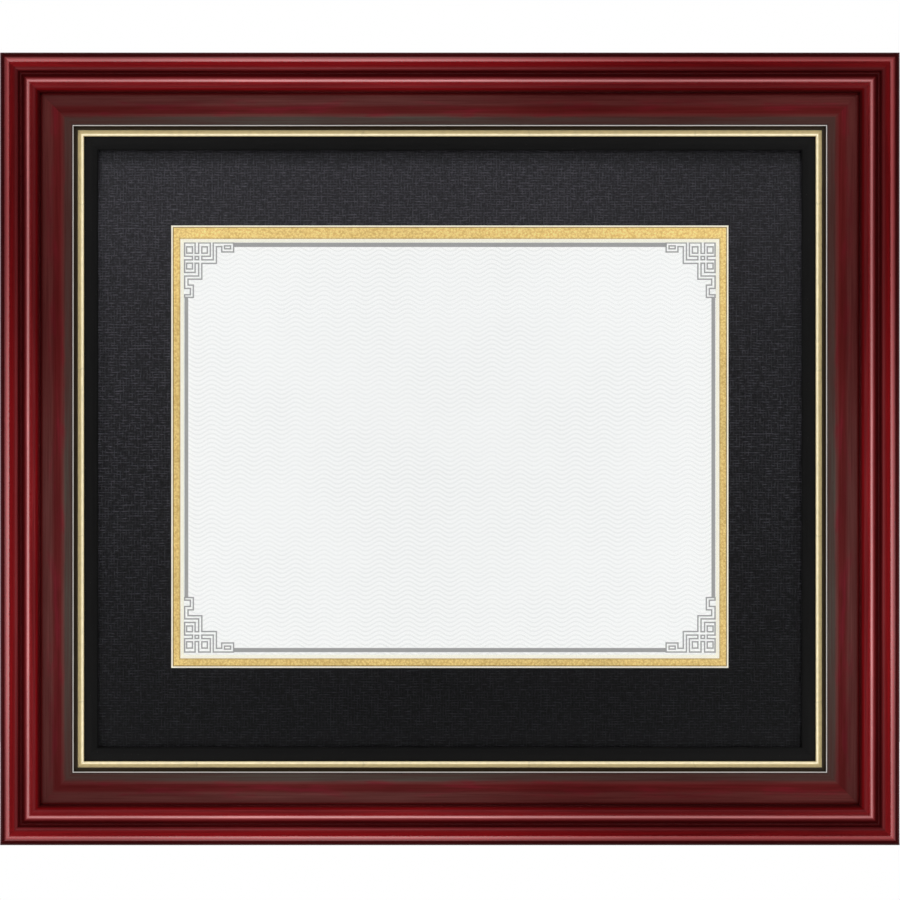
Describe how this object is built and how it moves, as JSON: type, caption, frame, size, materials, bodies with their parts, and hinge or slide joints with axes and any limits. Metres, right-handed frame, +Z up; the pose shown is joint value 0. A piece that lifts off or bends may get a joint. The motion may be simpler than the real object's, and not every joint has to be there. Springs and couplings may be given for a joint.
{
  "type": "certificate frame",
  "caption": "Wall frame for a landscape certificate: mitred cherry moulding with gold bead, black liner, double mat, glass and turn buttons on the back.",
  "frame": {"origin": "the middle of the whole frame, wall bumpers included", "axes": "+X to the right as the certificate is read, +Z up as it hangs, +Y from the front to the wall"},
  "size_m": [0.454, 0.0332, 0.4],
  "materials": {
    "cherry_lacquer": "gloss",
    "gold_bead": "gloss",
    "black_lacquer": "satin",
    "clear_glass": "polished",
    "black_linen": "matte",
    "gold_foil_paper": "satin",
    "cream_core": "matte",
    "certificate_paper": "matte",
    "corner_paper": "matte",
    "linen_tape": "matte",
    "mount_board": "matte",
    "corrugated_board": "matte",
    "hardboard": "matte",
    "zinc_steel": "satin",
    "brass_plate": "satin",
    "rubber": "matte"
  },
  "bodies": {
    "frame": {"rail_top": "cherry_lacquer", "rail_bottom": "cherry_lacquer", "rail_left": "cherry_lacquer", "rail_right": "cherry_lacquer", "gold_bead_top": "gold_bead", "gold_bead_bottom": "gold_bead", "gold_bead_left": "gold_bead", "gold_bead_right": "gold_bead", "black_liner_top": "black_lacquer", "black_liner_bottom": "black_lacquer", "black_liner_left": "black_lacquer", "black_liner_right": "black_lacquer", "glass_pane": "clear_glass", "black_mat_face": "black_linen", "black_mat_core": "cream_core", "gold_mat_face": "gold_foil_paper", "gold_mat_core": "cream_core", "certificate": "certificate_paper", "mounting_corners": "corner_paper", "mat_hinge_tape": "linen_tape", "mount_board": "mount_board", "filler_board": "corrugated_board", "backing_board": "hardboard", "corner_v_nails": "zinc_steel", "turn_button_screws": "zinc_steel", "sawtooth_hanger": "brass_plate", "hanger_nails": "brass_plate", "wall_bumper_left": "rubber", "wall_bumper_right": "rubber"},
    "turn_button_top_left": {"turn_button_top_left": "zinc_steel"},
    "turn_button_top_right": {"turn_button_top_right": "zinc_steel"},
    "turn_button_bottom_left": {"turn_button_bottom_left": "zinc_steel"},
    "turn_button_bottom_right": {"turn_button_bottom_right": "zinc_steel"},
    "turn_button_left": {"turn_button_left": "zinc_steel"},
    "turn_button_right": {"turn_button_right": "zinc_steel"}
  },
  "joints": [
    {"name": "turn_button_top_left_pivot", "type": "hinge", "parent": "frame", "child": "turn_button_top_left", "pos_m": [-0.118, 0.01405, 0.178], "axis": [0, 1, 0], "continuous": true},
    {"name": "turn_button_top_right_pivot", "type": "hinge", "parent": "frame", "child": "turn_button_top_right", "pos_m": [0.118, 0.01405, 0.178], "axis": [0, 1, 0], "continuous": true},
    {"name": "turn_button_bottom_left_pivot", "type": "hinge", "parent": "frame", "child": "turn_button_bottom_left", "pos_m": [-0.118, 0.01405, -0.178], "axis": [0, 1, 0], "continuous": true},
    {"name": "turn_button_bottom_right_pivot", "type": "hinge", "parent": "frame", "child": "turn_button_bottom_right", "pos_m": [0.118, 0.01405, -0.178], "axis": [0, 1, 0], "continuous": true},
    {"name": "turn_button_left_pivot", "type": "hinge", "parent": "frame", "child": "turn_button_left", "pos_m": [-0.205, 0.01405, 0], "axis": [0, 1, 0], "continuous": true},
    {"name": "turn_button_right_pivot", "type": "hinge", "parent": "frame", "child": "turn_button_right", "pos_m": [0.205, 0.01405, 0], "axis": [0, 1, 0], "continuous": true}
  ]
}
